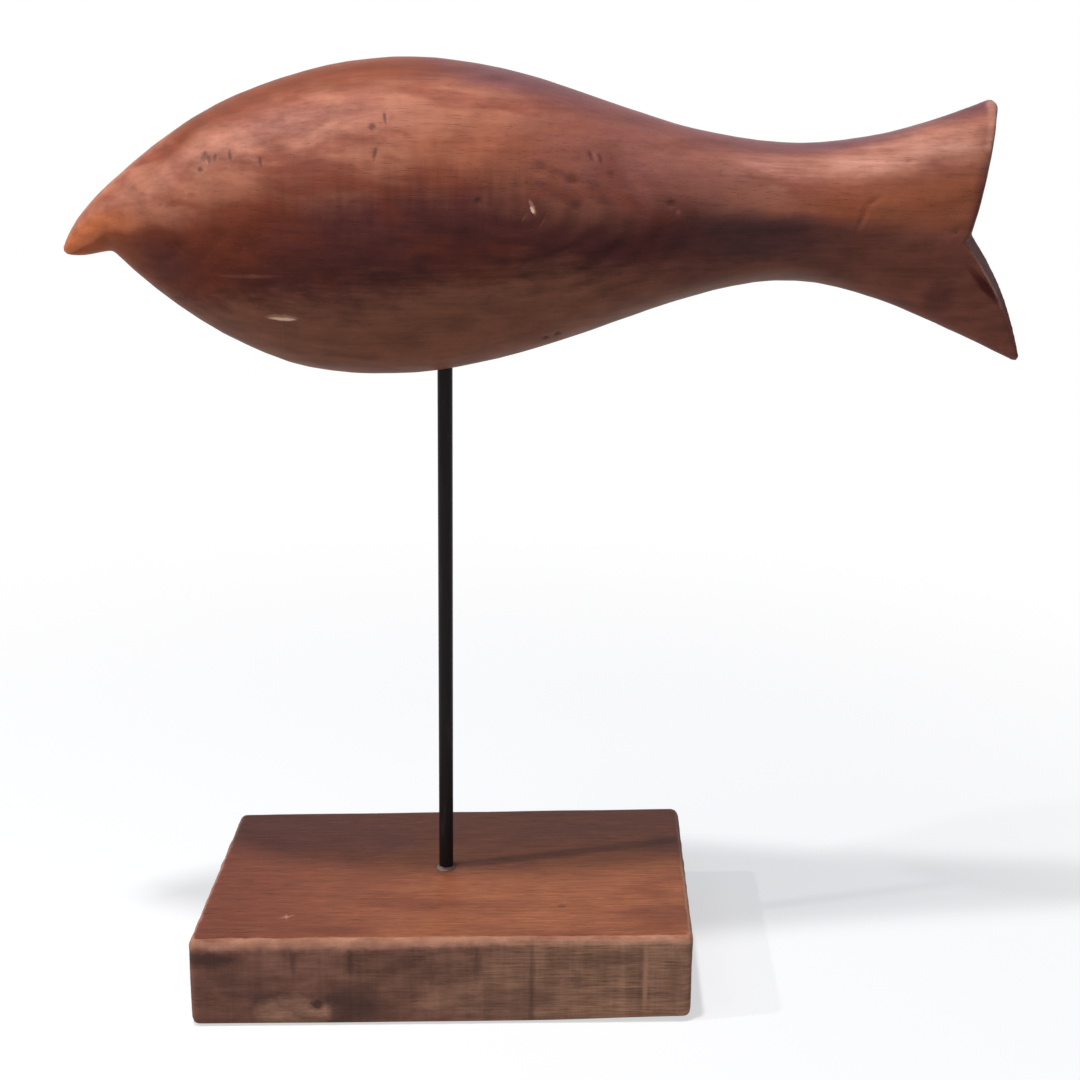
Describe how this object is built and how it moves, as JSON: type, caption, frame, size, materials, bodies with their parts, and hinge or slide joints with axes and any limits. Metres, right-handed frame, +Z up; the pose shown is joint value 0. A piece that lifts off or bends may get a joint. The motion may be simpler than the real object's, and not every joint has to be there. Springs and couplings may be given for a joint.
{
  "type": "fish figurine",
  "caption": "Carved wooden fish with a hooked snout and forked tail that turns on a slim black rod standing in a rectangular wooden block.",
  "frame": {"origin": "where the rod's axis meets the plane that the block stands on", "axes": "+Z up along the rod, +X towards the fish's tail, +Y away from the side that the picture shows"},
  "size_m": [0.3121, 0.1004, 0.3117],
  "materials": {
    "block_wood": "oiled top with sawn, worn sides",
    "black_steel": "satin black paint",
    "dried_glue": "dull, dusty",
    "carved_wood": "satin stained hardwood"
  },
  "bodies": {
    "stand": {"base_block": "block_wood", "support_rod": "black_steel", "glue_collar": "dried_glue"},
    "fish": {"fish_body": "carved_wood"}
  },
  "joints": [
    {"name": "fish_swivel", "type": "hinge", "parent": "stand", "child": "fish", "pos_m": [0, 0, 0.213], "axis": [0, 0, 1], "continuous": true}
  ]
}
